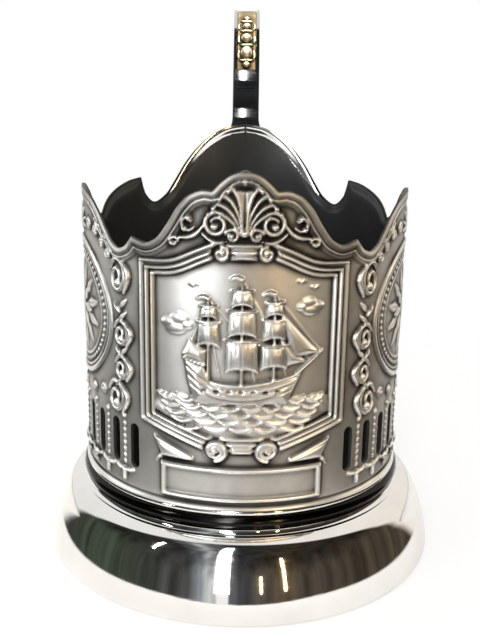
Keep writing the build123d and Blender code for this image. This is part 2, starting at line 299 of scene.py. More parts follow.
def polished(name, dark, pale, rough, stretch=(1, 1, 1), metal=1.0, spread=0.35, gloss=0.5):
    """Plate with faint clouding and turning marks; near black where it stands for painted shade."""
    m, g, bsdf = material(name)
    shine = [(0.35, grey(rough * (1 - spread))), (0.7, grey(rough * (1 + spread)))]
    g.fill(bsdf, {
        "Base Color": g.ramp(g.noise(70.0, 4.0), [(0.3, dark), (0.7, pale)]),
        "Roughness": g.ramp(g.noise(240.0, 5.0, stretch), shine),
        "Normal": g.bump(g.noise(500.0, 2.0, stretch), 0.05, 0.00003),
        "Metallic": metal, "Specular IOR Level": gloss})
    return m


TURNED = (1, 1, 7)  # stretch of the marks that turning leaves
WALL_MAT = blackened()
# The inside's near-black, dull colour is painted shade in the well; the slot sides and the seam take it too.
INSIDE_SHADE_MAT = polished("inside_painted_shade", (0.034, 0.035, 0.035), (0.046, 0.047, 0.047), 0.32,
                      metal=0.25, spread=0.08, gloss=0.1)
BORDER_MAT = polished("border_plate", (0.46, 0.45, 0.435), (0.56, 0.55, 0.53), 0.12)
FOOT_MAT = polished("polished_plate", (0.80, 0.785, 0.765), (0.90, 0.885, 0.865), 0.045, TURNED)
# The neck ring's near-black colour is painted shade: the polished ring sits recessed in shadow under the
# sleeve.
NECK_SHADE_MAT = polished("neck_ring_painted_shade", (0.012, 0.0115, 0.011), (0.030, 0.028, 0.026), 0.16, TURNED)
LIP_MAT = polished("lip_plate", (0.78, 0.765, 0.745), (0.88, 0.865, 0.84), 0.12, TURNED)
BAND_MAT = polished("band_plate", (0.58, 0.57, 0.55), (0.68, 0.67, 0.65), 0.04)


# Relief of the wall

FAR = 999.0  # stands for a distance that is out of reach
FRONT_HALF, EDGE_ON = 80, 89  # angles where the front ends, and where a view square on ends


def seen_flat(angle):
    """Distance across the wall, seen square on."""
    return WALL_R * np.sin(np.radians(np.clip(angle, -EDGE_ON, EDGE_ON)))


class Relief:
    """Heights over the wall, in mm, built up on points given by angle and height."""

    def __init__(self, angle, z):
        self.angle, self.z = angle, z
        self.flat = seen_flat(angle)
        self.side = seen_flat(np.abs(angle) - SIDE)
        self.h = np.zeros_like(z)
        self.to_rim = np.full_like(z, FAR)

    def axis(self, where):
        """Distances across, in mm.

        flat: across the front, seen square on. front: the same, both halves alike. oval: flat on each side.
        turn: along the wall from the middle of a side, both ways alike. round: along it from the front.
        """
        if where == "oval":
            return self.side
        if where == "turn":
            return WALL_R * np.radians(np.abs(np.abs(self.angle) - SIDE))
        if where == "round":
            return WALL_R * np.radians(self.angle)
        flat = np.abs(self.flat) if where == "front" else self.flat
        return np.where(np.abs(self.angle) < FRONT_HALF, flat, FAR)

    def window(self, where, lo, hi, pad):
        """Distances across, and which points lie in a box with a margin."""
        x = self.axis(where)
        level = (self.z > lo[1] - pad) & (self.z < hi[1] + pad)
        return x, np.nonzero((x > lo[0] - pad) & (x < hi[0] + pad) & level)

    def reach(self, where, pts, pad):
        """Distance from the line and share of the way along it, for the points near it."""
        pts = np.asarray(pts, float)
        x, near = self.window(where, pts.min(0), pts.max(0), pad)
        px, pz = x[near], self.z[near]
        best, along = np.full(px.shape, FAR), np.zeros(px.shape)
        starts = lengths_along(pts)
        for a, b, start, length in zip(pts, pts[1:], starts, np.diff(starts)):
            if length < 1e-9:
                continue
            d = b - a
            t = np.clip(((px - a[0]) * d[0] + (pz - a[1]) * d[1]) / length**2, 0, 1)
            r = np.hypot(px - a[0] - t * d[0], pz - a[1] - t * d[1])
            nearer = r < best
            best[nearer] = r[nearer]
            along[nearer] = ((start + t * length) / starts[-1])[nearer]
        return near, best, along

    def raise_to(self, near, height, here=True):
        """Lifts points to a height where they are lower and the mask allows it."""
        self.h[near] = np.where(here, np.maximum(self.h[near], height), self.h[near])

    def stroke(self, where, pts, widths, height, base=0.0):
        """A rounded ridge. widths are half widths along it."""
        near, d, t = self.reach(where, pts, max(widths))
        w = np.interp(t, np.linspace(0, 1, len(widths)), widths)
        self.raise_to(near, base + height * rounded((d / np.maximum(w, 1e-6))**2), d < w)

    def groove(self, where, pts, width, depth):
        near, d, _ = self.reach(where, pts, width)
        self.h[near] -= depth * np.clip(1 - (d / width)**2, 0, 1)

    def dome(self, where, x, z, rx, rz, height, base=0.0):
        px, near = self.window(where, (x - rx, z - rz), (x + rx, z + rz), 0.1)
        q = ((px[near] - x) / rx)**2 + ((self.z[near] - z) / rz)**2
        self.raise_to(near, base + height * rounded(q), q < 1)

    def inside(self, where, pts, pad=0.1):
        """Points inside a closed outline, with their distance from its edge."""
        pts = np.asarray(pts, float)
        ring = np.vstack([pts, pts[:1]])
        near, d, _ = self.reach(where, ring, pad)
        px, pz = self.axis(where)[near], self.z[near]
        odd = np.zeros(px.shape, bool)
        for a, b in zip(ring[:-1], ring[1:]):
            if a[1] == b[1]:
                continue
            hit = (a[1] > pz) != (b[1] > pz)
            odd ^= hit & (px < (b[0] - a[0]) * (pz - a[1]) / (b[1] - a[1]) + a[0])
        return near, np.where(odd, d, -d)

    def plate(self, where, pts, height, edge, crown=0.0, width=1.5):
        """A raised flat shape with a sloping edge, and a crown towards its middle."""
        near, d = self.inside(where, pts)
        self.raise_to(near, height * smooth(0, edge, d) + crown * smooth(0, width, d), d > 0)


def scroll(r, where, x, z, size, turns, start, way, width, height):
    """A volute that winds in to a knob."""
    pts = spiral(x, z, size, size * 0.28, start, start + way * 360 * turns)
    r.stroke(where, pts, [width, width, width * 0.75], height)
    r.dome(where, x, z, size * 0.33, size * 0.33, height * 1.05)


def rim_and_foot(r):
    """Border along the rim, and the bead and groove at the wall's foot."""
    a = np.linspace(2, 180, 2200)
    line = np.column_stack([WALL_R * np.radians(a), rim_height(a)])
    near, d, _ = r.reach("round", np.vstack([line[::-1] * [-1, 1], line]), 3.4)
    r.to_rim[near] = d
    band = 0.5 * rounded(((d - 0.72) / 0.86)**2)
    ridge = 0.5 * rounded(((d - 1.85) / 0.28)**2)
    up = np.maximum(np.maximum(band, ridge), 0.2 * smooth(3.1, 2.4, d))
    r.raise_to(near, up * (1 - 0.45 * smooth(58, 74, np.abs(r.angle[near]))))
    z = r.z - WALL_Z
    r.h = np.maximum(r.h, 0.3 * rounded((z / 0.5)**2))
    r.h -= 0.18 * np.clip(1 - ((z - 0.9) / 0.34)**2, 0, 1)


PANEL_IN, PANEL_BED = 2.9, 0.12  # width of the frame, height of its ground
PANEL_RIDGES = ((0.34, 0.4, 0.85), (1.62, 0.4, 1.1), (2.66, 0.36, 0.95))  # inset, half width, height
PANEL_CURLS = ((4.3, 52.9, 1.45, 1.4, 1), (5.05, 13, 2.15, 1.9, -1))  # across, up, size, turns, way
CURL_GAP, CURL_BED = 0.5, 0.1  # ground cleared round a curl
PANEL_CLIPS = (((2.1, 73.3, 2.1, 75.2), 0.95), ((2.1, 33.5, 2.5, 36.3), 1))  # lower and upper edge, height


def panel_line(inset, count=60):
    share = 1 - inset / PANEL_W
    head = through([(x * PANEL_W * share, WALL_Z + h - inset) for x, h in PANEL_TOP], count)
    foot = through([(x * PANEL_W * share, WALL_Z + h + inset) for x, h in PANEL_FOOT], count)
    half = np.vstack([head[::-1], foot])
    return np.vstack([half, half[::-1] * [-1, 1]])


def box(low_x, low, top_x, top):
    return [(-low_x, low), (low_x, low), (top_x, top), (-top_x, top)]


def panel_moulding(r):
    """Frame of the picture: bed, ridges, and the curls and clips that break it."""
    near, d = r.inside("flat", panel_line(0), 0.2)
    hollow = np.interp(d, (0.3, 1.4, PANEL_IN), (0.62, PANEL_BED, PANEL_BED))
    r.raise_to(near, hollow, (d > 0.2) & (d < PANEL_IN))
    for inset, half, height in PANEL_RIDGES:
        q = ((d - inset) / half)**2
        r.raise_to(near, PANEL_BED + (height - PANEL_BED) * np.clip(1 - q, 0, 1)**0.9, q < 1)
    for x, up, size, turns, way in PANEL_CURLS:
        z = WALL_Z + up
        clear = size + CURL_GAP
        px, near = r.window("front", (x - clear, z - clear), (x + clear, z + clear), 0)
        r.h[near] = np.where(np.hypot(px[near] - x, r.z[near] - z) < clear, CURL_BED, r.h[near])
        scroll(r, "front", x, z, size, turns, way * 90, way, size * 0.23, 1.0)
    for edges, height in PANEL_CLIPS:
        r.plate("flat", box(*edges), height, 0.5)
    r.groove("flat", [(-1.5, 35.3), (1.5, 35.3)], 0.35, 0.35)


CREST_LEAF = [(-0.3, 78.6), (0.3, 78.6), (1.15, 84), (1.75, 86.3), (0, 86), (-1.75, 86.3), (-1.15, 84)]
CREST_FRONDS = [
    [(0.3, 78.6), (0.62, 81.6), (1.25, 84.4), (2.3, 86.2), (3.1, 86)],
    [(0.42, 78.3), (1.15, 81.2), (2.35, 83.6), (3.9, 84.9), (4.7, 84.4)],
    [(0.55, 78), (1.75, 80.6), (3.3, 82.5), (5, 83.3), (5.8, 82.7)],
    [(0.7, 77.7), (2.2, 79.9), (3.9, 81.3), (5.6, 82), (6.7, 81.6)],
]
CREST_LINES = [  # curl or stem, half widths, height
    (spiral(5.3, 79.6, 2.35, 1.1, 118, -330, 60), [0.3, 0.46, 0.5, 0.4, 0.3], 0.66),
    (spiral(2.3, 77.5, 1.35, 0.6, 20, 400), [0.32, 0.36, 0.26], 0.66),
    (spiral(10.7, 79.6, 1.35, 0.75, -150, 150, 30, 1.1), [0.22, 0.36, 0.3], 0.6),
    (spiral(13.3, 75.9, 0.95, 0.5, 160, -160, 30), [0.34, 0.36, 0.28], 0.8),
    (through([(3.4, 76.4), (5.0, 76.2), (6.6, 76.7), (7.9, 77.8)], 20), [0.2, 0.42, 0.25], 0.7),
    (through([(7.7, 79.3), (8.8, 77.9), (10.4, 77.0), (12.2, 76.8)], 20), [0.25, 0.48, 0.3], 0.75),
]
CREST_KNOBS = [  # place, half width, half height, height
    (0, 87.5, 0.36, 0.5, 0.8), (0, 78, 0.9, 0.8, 1), (5.65, 79.2, 0.8, 0.72, 1),
    (2.3, 77.5, 0.42, 0.42, 0.9), (10.5, 80.6, 0.62, 0.66, 0.95), (11.3, 78.5, 0.56, 0.56, 0.9),
    (13.3, 75.8, 0.34, 0.34, 0.7),
]


def crest(r):
    """Palmette and scrolls over the panel."""
    r.plate("flat", CREST_LEAF, 0.42, 0.3)
    r.groove("flat", [(0, 79.5), (0, 85.6)], 0.28, 0.2)
    for frond in CREST_FRONDS:
        r.stroke("front", through(frond, 30), [0.16, 0.26, 0.36, 0.42, 0.3], 0.6)
        r.dome("front", frond[-1][0], frond[-1][1] - 0.15, 0.5, 0.46, 0.9)
    for line in CREST_LINES:
        r.stroke("front", *line)
    for knob in CREST_KNOBS:
        r.dome("front", *knob)


CHAIN_LEAVES = (  # angle, height, half width, half height
    (45.6, 67.2, 2.3, 3.5), (44.3, 55.3, 2.1, 2.7), (44.2, 47.9, 2, 2.6), (47.4, 41.4, 2.6, 3.4))
CHAIN_MOON = ((0.72, 0.92), (1.42, 0.1), (0.8, -0.98))  # beside a leaf, in its half sizes
CHAIN_BUDS = (  # angle, height, lean
    (43, 61.6, 1), (46.2, 60.4, -1), (43.4, 58.9, 1), (42.9, 51.6, 1), (45.6, 51.2, -1), (45.6, 44.7, 1))
CHAIN_CURLS = ((50.5, 71), (53, 73.6), (57.5, 75.8))
CHAIN_STEM = ((47, 70.6), (50, 72.9), (55, 74.6), (60, 77.3))


def from_side(angle):
    """Distance along the wall from the middle of a side."""
    return WALL_R * radians(SIDE - angle)


def side_chain(r):
    """Leaf scrolls before and behind a side medallion."""
    for angle, z, w, tall in CHAIN_LEAVES:
        x = from_side(angle)
        outer = spiral(x, z, w, w * 0.8, 160, -150, 44, tall / w)
        inner = spiral(x - 0.1 * w, z - 0.1 * tall, w * 0.62, w * 0.3, -150, -430, 30, tall / w)
        moon = through([(x + a * w, z + b * tall) for a, b in CHAIN_MOON], 20)
        r.stroke("turn", outer, [0.34, 0.5, 0.5, 0.42], 0.62)
        r.stroke("turn", inner, [0.4, 0.3], 0.6)
        r.dome("turn", x + 0.12 * w, z - 0.42 * tall, 0.4 * w, 0.36 * w, 0.95)
        r.stroke("turn", moon, [0.12, 0.48, 0.6, 0.48, 0.15], 0.85)
    for angle, z, lean in CHAIN_BUDS:
        x = from_side(angle)
        bud = through([(x - 0.9 * lean, z - 0.9), (x, z + 0.1), (x + 0.9 * lean, z + 0.9)], 12)
        r.stroke("turn", bud, [0.18, 0.5, 0.12], 0.7)
    for angle, z in CHAIN_CURLS:
        scroll(r, "turn", from_side(angle), z, 0.95, 1.2, 30, 1, 0.32, 0.75)
    stem = through([(from_side(angle), z) for angle, z in CHAIN_STEM], 30)
    r.stroke("turn", stem, [0.2, 0.36, 0.2], 0.55)


SPRAYS = ((WALL_Z + 52.2, 1, 1), (WALL_Z + 19.6, -1, 0.42))  # root, way up, share of the length
SPRAY_LEAVES = ((0, 5.4), (26, 5), (52, 4.4), (76, 3.6))  # lean, length
SPRAY_CURLS = ((6.6, 75.4, 1.3), (10.6, 74.6, 1.2), (13.6, 72.6, 1.1), (8.4, 40.4, 1), (13.2, 41.4, 1.1))


def side_sprays(r):
    """Fans of leaves over and under a side medallion, and curls."""
    for z, way, share in SPRAYS:
        for lean, length in SPRAY_LEAVES:
            t, tall = radians(lean), length * share
            tip = (tall * sin(t), z + way * tall * cos(t))
            bend = (0.5 * tall * sin(t * 0.7), z + way * 0.55 * tall * cos(t * 0.7))
            r.stroke("turn", through([(0, z), bend, tip], 16), [0.2, 0.42, 0.4, 0.14], 0.4)
            r.dome("turn", *tip, 0.34, 0.34, 0.42)
    for x, z, size in SPRAY_CURLS:
        r.stroke("turn", spiral(x, z, size, size * 0.3, 200, -250, 30), [0.3, 0.34, 0.24], 0.42)
        r.dome("turn", x, z, size * 0.34, size * 0.34, 0.45)


MEDAL_Z = WALL_Z + 35.8
MEDAL_RINGS = (  # half sizes of the oval, half width and height of its ridge
    (16.1, 14.4, 0.6, 0.42), (15, 13.3, 0.3, 0.32), (12.5, 10.9, 0.24, 0.28))
MEDAL_PETALS = (  # count, root, tip, half width, height, turn
    (12, 4.6, 10.6, 1.15, 0.32, 0.5), (8, 2, 6.9, 1.25, 0.44, 0))
PETAL_SQUASH = 0.87


def around(count, a, b, turn=0.0):
    """Points on an oval round the middle of a side medallion."""
    t = 2 * pi * (np.arange(count) + turn) / count
    return np.column_stack([a * np.cos(t), MEDAL_Z + b * np.sin(t)])


def side_medallion(r):
    """Oval frame with a beaded edge and a rosette."""
    for a, b, width, height in MEDAL_RINGS:
        ring = around(120, a, b)
        r.stroke("oval", np.vstack([ring, ring[:1]]), [width], height)
    for x, z in around(56, 13.75, 12.1):
        r.dome("oval", x, z, 0.52, 0.52, 0.34)
    for count, root, tip, wide, height, turn in MEDAL_PETALS:
        lines = [around(count, s, PETAL_SQUASH * s, turn) for s in (root, (root + tip) / 2, tip)]
        for petal in zip(*lines):
            r.stroke("oval", petal, [0.3, wide, 0.35], height)
            r.groove("oval", petal, 0.24, 0.2)
    r.dome("oval", 0, MEDAL_Z, 2.0, 1.8, 0.42)
    for x, z in around(8, 1.15, 1.0):
        r.dome("oval", x, z, 0.36, 0.36, 0.2, 0.34)


COLUMN_BEADS, BEAD_PITCH = 7, 1.4
DROP_LEAF = ((0.35, -5.9), (1.5, -6), (2.6, -5.6))  # from the middle of a column


def slot_row(r):
    """Bead columns between the slots, each with a drop and a knob."""
    pitch = WALL_R * radians(SLOT_STEP)
    for k in range(SLOT_COUNT // 2):
        x = (k + 0.5) * pitch
        for j in range(COLUMN_BEADS):
            r.dome("turn", x, SLOT_MID + 4.2 - BEAD_PITCH * j, 0.44, 0.46, 0.34)
        r.stroke("turn", [(x, SLOT_MID - 6.0), (x, SLOT_MID - 8.4)], [0.7, 0.42, 0.05], 0.8)
        for way in (-1, 1):
            leaf = [(x + way * a, SLOT_MID + b) for a, b in DROP_LEAF]
            r.stroke("turn", through(leaf, 12), [0.4, 0.36, 0.2], 0.55)
        r.dome("turn", x, SLOT_MID + 6.0, 0.5, 0.5, 0.6)


PLAQUE_W, PLAQUE_LOW, PLAQUE_TOP = 16.2, WALL_Z + 1.75, WALL_Z + 9.45  # half width, edges
PLAQUE_TAIL = [(17.9, 14.8), (9.4, 11.2), (9.4, 10), (15.6, 10), (17.7, 8.4), (16.2, 11)]
TAIL_FOLDS = ((((9.6, 10.2), (15.9, 10.3)), 0.4, 0.4), (((10.2, 11), (17, 13.6)), 0.22, 0.16))


def plaque(r):
    """Bare ribbon under the panel, with its folded ends."""
    near, d = r.inside("flat", box(PLAQUE_W, PLAQUE_LOW, PLAQUE_W, PLAQUE_TOP))
    r.raise_to(near, 0.85 * smooth(0, 0.35, d) - 0.55 * smooth(0.85, 1.35, d), d > 0)
    r.plate("front", [(x, WALL_Z + z) for x, z in PLAQUE_TAIL], 0.6, 0.3, 0.15)
    for fold, width, depth in TAIL_FOLDS:
        r.groove("front", [(x, WALL_Z + z) for x, z in fold], width, depth)


# Picture in the panel: across, height over the table

HULL = [(-11.4, 53), (-10.7, 48.2), (-9.4, 44), (8.8, 44), (11.9, 50.9), (7.2, 49.5), (0, 48.4),
        (-6.2, 48.9), (-7.3, 51.7)]
MASTS = (  # across, foot, top, and its sails: head, foot, half width at each
    (-6.6, 49.5, 65.4, ((60.6, 55.2, 1.9, 2.35), (63.7, 60.9, 1.35, 1.75))),
    (-0.2, 48.5, 69.4, ((57, 50.3, 3, 3.35), (62.9, 57.4, 2.4, 2.95), (66.9, 63.3, 1.7, 2.3))),
    (6, 49, 66.4, ((56.2, 50.8, 2.5, 2.75), (61.1, 56.6, 2, 2.45), (64.6, 61.4, 1.4, 1.9))))
JIBS = ([(6.7, 63.6), (14.9, 54.2), (9.4, 53.2)], [(6.6, 58.6), (12.4, 52.5), (8.4, 51.7)],
        [(-7, 55), (-7, 51.8), (-11.9, 53.6), (-10.3, 57.2)])
RIGGING = (
    ((15.2, 54.2), (6, 66.2)), ((13.2, 52.5), (6, 61.2)), ((-11.2, 53.4), (-6.6, 65.2)),
    ((-6.6, 65.2), (-0.2, 58)), ((-0.2, 69.2), (6, 57.5)), ((-4.4, 49.4), (-6.4, 59.5)),
    ((2.4, 49), (0, 61)), ((8.4, 50), (6.2, 60)))
CLOUDS = (  # place, half width
    (-12.4, 60.8, 2), (-14.3, 59.9, 1.6), (-10.8, 59.6, 1.3), (-13, 58.9, 2.2),
    (12.6, 64.4, 1.6), (14.2, 63.6, 1.4), (11.2, 63.5, 1.2), (13, 62.9, 1.9))
BIRDS = ((11, 68.3), (13.6, 67), (-9.6, 67.6))
WINGS = ((-0.9, 0.3), (-0.4, 0.45), (0, 0), (0.4, 0.45), (0.9, 0.3))
WAVE = ((-0.48, 0), (-0.1, -0.62), (0.3, -0.2), (0.42, 0.42), (0.2, 0.5))  # pitches across, mm up
SEA_TOP, SEA_ROWS, SEA_DROP = 44.8, 5, 1.45
PORTS, PORT_FIRST, PORT_PITCH = 7, -7.6, 2.35


def sea_and_sky(r):
    """Waves, clouds and birds of the picture."""
    near, d = r.inside("flat", panel_line(PANEL_IN))
    x, z = r.flat[near], r.z[near]
    sea = 0.28 + 0.10 * np.sin(x * 0.9 + z * 1.3)
    r.raise_to(near, np.where(z < 45.2 + 0.25 * np.sin(x * 1.4), sea, 0.04), d > 0)
    for cx, cz, size in CLOUDS:
        r.dome("flat", cx, cz, size, size * 0.62, 0.4)
    for row in range(SEA_ROWS):
        top = SEA_TOP - SEA_DROP * row
        pitch = 3.6 + 0.35 * row
        for k in range(-6, 7):
            cx = (k + 0.5 * (row % 2)) * pitch
            if abs(cx) <= 16.0 - 1.2 * row:
                wave = through([(cx + pitch * a, top + b) for a, b in WAVE], 22)
                r.stroke("flat", wave, [0.16, 0.34, 0.3, 0.14], 0.36, 0.3)
    for bx, bz in BIRDS:
        bird = through([(bx + a, bz + b) for a, b in WINGS], 16)
        r.stroke("flat", bird, [0.08, 0.16, 0.2, 0.16, 0.08], 0.32)


def sail(r, mast, top, low, head, foot):
    """A full square sail with seams and a curved foot, and its yard."""
    half = max(head, foot)
    px, near = r.window("flat", (mast - half, low), (mast + half, top), 0.2)
    z = r.z[near]
    v = np.clip((top - z) / (top - low), 0, 1)
    across = (px[near] - mast) / (head + (foot - head) * v)
    sag = low + 0.85 * (1 - across**2)
    edge = np.minimum(1 - np.abs(across), np.minimum(v, (z - sag) / (top - low))) * half
    belly = 0.72 * np.cos(across * pi / 2) * np.sin(np.clip(v * 0.92 + 0.12, 0, 1) * pi)**0.7
    seams = 0.09 * (np.abs((across * 3 + 0.5) % 1 - 0.5) < 0.07)
    here = (np.abs(across) < 1) & (z < top) & (z > sag)
    r.raise_to(near, 0.42 * smooth(0, 0.28, edge) + belly - seams, here)
    yard = [(mast - head - 0.35, top + 0.1), (mast + head + 0.35, top + 0.1)]
    r.stroke("flat", yard, [0.14, 0.26, 0.14], 0.85)


def ship(r):
    """A three-masted sailing ship."""
    for x, foot, top, _ in MASTS:
        r.stroke("flat", [(x, foot), (x, top)], [0.34, 0.16], 0.75)
        flag = through([(x - 0.1, top - 0.1), (x - 1.1, top + 0.25), (x - 2.4, top - 0.2)], 12)
        r.stroke("flat", flag, [0.42, 0.34, 0.08], 0.6)
    r.stroke("flat", [(10.4, 50.2), (15.4, 54.4)], [0.34, 0.14], 0.8)
    for rope in RIGGING:
        r.stroke("flat", rope, [0.11], 0.32)
    r.plate("flat", HULL, 0.6, 0.35, 0.5, 2.4)
    for drop in (0.75, 2.0, 3.2):
        sheer = through([(-11.0 + 0.2 * drop, 52.6 - drop * 1.35), (-5.0, 48.6 - drop), (2.0, 48.2 - drop),
                         (11.2 - 0.5 * drop, 50.4 - drop)], 30)
        r.groove("flat", sheer, 0.24, 0.3)
    for k in range(PORTS):
        x = PORT_FIRST + PORT_PITCH * k
        z = 46.75 + 0.004 * x * x
        r.groove("flat", [(x, z), (x + 0.5, z)], 0.36, 0.5)
    r.stroke("flat", [(-11.3, 53.1), (-7.3, 51.9)], [0.26], 1.0)
    for x, _, _, sails in MASTS:
        for row in sails:
            sail(r, x, *row)
    for jib in JIBS:
        r.plate("flat", jib, 0.42, 0.3, 0.5, 1.3)


# Sleeve

def padded(h, axis, before, after):
    return np.pad(h, [(before, after) if k == axis else (0, 0) for k in range(2)], mode="edge")


def blur(h, n):
    """Three box blurs over n rows and columns each way."""
    for axis in (0, 1) * 3:
        s = np.cumsum(padded(h, axis, n + 1, n), axis=axis)
        start = np.arange(h.shape[axis])
        h = (np.take(s, start + 2 * n + 1, axis=axis) - np.take(s, start, axis=axis)) / (2 * n + 1)
    return h


def soften(h, centre):
    """Eases the relief's corners, the more the smaller centre is."""
    for axis in (0, 1):
        rows = np.moveaxis(padded(h, axis, 1, 1), axis, 0)
        h = np.moveaxis((rows[:-2] + centre * rows[1:-1] + rows[2:]) / (centre + 2), 0, axis)
    return h


def wall_columns():
    """Angles of the columns: closest at the front, one at each corner of the rim."""
    cols, start = [0.0], 0
    for end, wide in ZONES:
        count = round(WALL_R * radians(end - start) / (GRID * wide))
        cols += list(np.linspace(start, end, count + 1)[1:])
        start = end
    cols = np.array(cols)
    for corner in RIM_CORNERS:
        cols[np.argmin(np.abs(cols - corner))] = corner
    return np.concatenate([-cols[:0:-1], cols])


def from_slot(angle, z):
    """Steps across and up from a slot's middle line, and the height along that line."""
    v = z - SLOT_MID
    nearest = np.clip(v, -SLOT_HALF, SLOT_HALF)
    return WALL_R * np.radians(angle), v - nearest, nearest


def wall_grid():
    """Angles and heights of the mesh's points, and which faces are left round the slots."""
    cols = wall_columns()
    low = np.linspace(WALL_Z, SPLIT_Z, int((SPLIT_Z - WALL_Z) / (GRID * ROW)))
    share = np.linspace(0, 1, int(UPPER / GRID))[1:]
    upper = SPLIT_Z + (rim_height(cols)[:, None] - SPLIT_Z) * share
    z = np.hstack([np.tile(low, (len(cols), 1)), upper])
    angle = np.tile(cols[:, None], (1, z.shape[1]))
    mid_a = (angle[:-1, :-1] + angle[1:, :-1]) / 2
    mid_z = (z[:-1, :-1] + z[:-1, 1:]) / 2
    keep = np.ones(mid_z.shape, bool)
    for k in range(SLOT_COUNT):
        for middle in (-SLOT_FIRST - k * SLOT_STEP, SLOT_FIRST + k * SLOT_STEP):
            u, v, _ = from_slot(mid_a - middle, mid_z)
            hole = np.hypot(u, v) < SLOT_R
            keep &= ~hole
            p = np.pad(hole, 1).astype(int)
            touch = p[:-1, :-1] + p[1:, :-1] + p[:-1, 1:] + p[1:, 1:]
            i, j = np.nonzero((touch > 0) & (touch < 4))
            u, v, nearest = from_slot(angle[i, j] - middle, z[i, j])
            far = np.maximum(np.hypot(u, v), 1e-6)
            angle[i, j] = middle + np.degrees(u / far * SLOT_R / WALL_R)
            z[i, j] = SLOT_MID + nearest + v / far * SLOT_R
    return angle, z, keep


def carved(angle, z):
    """All relief of the wall, eased a little, and more in the panel's frame."""
    r = Relief(angle, z)
    for carve in (panel_moulding, sea_and_sky, ship, crest, side_chain, side_sprays, side_medallion,
                  slot_row, plaque, rim_and_foot):
        carve(r)
    r.h = soften(r.h, 5)
    near, d = r.inside("flat", panel_line(0))
    framed = np.zeros_like(z)
    framed[near] = smooth(0.0, 0.2, d) * smooth(3.3, 3.0, d)
    r.h += framed * (soften(r.h, 2) - r.h)
    return r


PLAIN_TONE, INNER_TONE = 0.66, 0.35


def wall_tone(r):
    """Brightness of the finish: blackened hollows, high places rubbed brighter."""
    wear = 1.1 * (r.h - blur(r.h, FINE)) + 0.5 * (r.h - blur(r.h, BROAD))
    aside = smooth(54, 62, np.abs(r.angle))
    gain = np.where(wear > 0, 0.7 + 0.5 * aside, 1.5 + 2.2 * aside)
    tone = PLAIN_TONE + gain * wear + 0.12 * r.h
    # the ground over the panel and the border are left darker, the picture's ground brighter
    over = (np.abs(r.angle) < 40) * smooth(70, 73, r.z)
    tone -= over * (0.16 - 0.12 * smooth(0.7, 0.88, r.h))
    tone -= 0.08 * (1 - smooth(1.4, 1.7, r.to_rim))
    near, d = r.inside("flat", panel_line(PANEL_IN))
    lift = np.zeros_like(r.h)
    lift[near] = smooth(0.0, 1.5, d)
    tone += lift * (0.26 - 0.32 * smooth(0.3, 0.9, r.h))
    tone += 0.06 * smooth(44, 36, r.z)
    return np.clip(tone, 0, 1)


OUTSIDE, INSIDE, BORDER = range(3)  # materials of the sleeve


def wall_sides(keep, index):
    """Faces along the sheet's edges and round the slots, and their materials."""
    solid = np.pad(keep, 1)
    runs = ((0, solid[:-1, 1:-1], solid[1:, 1:-1], index[:, :-1], index[:, 1:]),
            (1, solid[1:-1, :-1], solid[1:-1, 1:], index[1:, :], index[:-1, :]))
    faces, kinds = [], []
    for axis, before, after, p, q in runs:
        edge = np.zeros(before.shape, bool)
        np.moveaxis(edge, axis, 0)[[0, -1]] = True
        for side, way in ((after & ~before, 1), (before & ~after, -1)):
            s, t = p[side], q[side]
            faces.append(np.stack([t, t + index.size, s + index.size, s], -1)[:, ::way])
            # Faces round the slots take the inside's near-black colour, painted shade in the holes; the
            # sheet's outer edges keep the outside's finish.
            kinds.append(np.where(edge[side], OUTSIDE, INSIDE))
    return faces, kinds


def make_wall():
    """Carved outside, smoother inside, and a bright border at the back of the rim."""
    angle, z, keep = wall_grid()
    r = carved(angle, z)
    pressed = 0.5 * np.maximum(blur(r.h, FINE), 0)
    inner = BORE_R + pressed + 0.55 * (1 - smooth(0.2, 2.3, r.to_rim))
    turn = np.radians(angle)
    verts = np.vstack([np.stack([radius * np.sin(turn), -radius * np.cos(turn), z], -1).reshape(-1, 3)
                       for radius in (WALL_R + r.h, inner)])
    tone = np.concatenate([wall_tone(r).ravel(), np.full(z.size, INNER_TONE)])
    index = np.arange(z.size).reshape(z.shape)
    outside = quads(index)[keep]
    sides, side_kinds = wall_sides(keep, index)
    # Within 2.1 mm of the rim at the back the inside is plain reflecting plate; everywhere else it takes the
    # near-black painted shade.
    back = smooth(141, 160, np.abs(angle[:-1, :-1] + angle[1:, :-1]) / 2)
    lining = np.where(r.to_rim[:-1, :-1] < 2.1 * back, BORDER, INSIDE)[keep]
    faces = np.vstack([outside, outside[:, ::-1] + z.size] + sides)
    kinds = np.concatenate([np.full(len(outside), OUTSIDE), lining] + side_kinds)
    used = np.zeros(len(verts), bool)
    used[faces] = True
    return new_object("sleeve_wall", verts[used], (np.cumsum(used) - 1)[faces],
                      [WALL_MAT, INSIDE_SHADE_MAT, BORDER_MAT], 85, kinds, tone[used])


# Turned pieces

FOOT_CURVE = [(0, 1), (0.32, 0.915), (0.55, 0.755), (0.745, 0.545), (0.9, 0.3), (0.975, 0.125)]


def foot_profile():
    """Flange, collar, cove, outer curve, rolled edge and the inside of the bell."""
    collar, cove, roll = WALL_R + 0.9, 1.0, 0.7
    start, rise = collar + cove, FOOT_H - cove
    curve = [(start + (FOOT_R - start) * s, rise * h) for s, h in FOOT_CURVE]
    outer = through([(start - 0.6, rise + 0.01)] + curve + [(FOOT_R, roll)], 90)
    outer = outer[outer[:, 0] > start]
    slope = np.gradient(outer, axis=0)
    slope /= np.hypot(*slope.T)[:, None]
    inner = outer + FOOT_SHEET * np.column_stack([slope[:, 1], -slope[:, 0]])
    inner = inner[inner[:, 1] > 1.6]
    edge = FOOT_R - roll
    return np.vstack([
        [(FLANGE_R, FOOT_H), (collar, FOOT_H)], arc(start, FOOT_H, cove, 180, 270, 12)[1:], outer,
        arc(edge, roll, roll, 0, -90, 8)[1:], [(edge - 0.9, 0.0), (edge - 1.05, 0.35)], inner[::-1],
        [(FLANGE_R, rise - FOOT_SHEET)]])


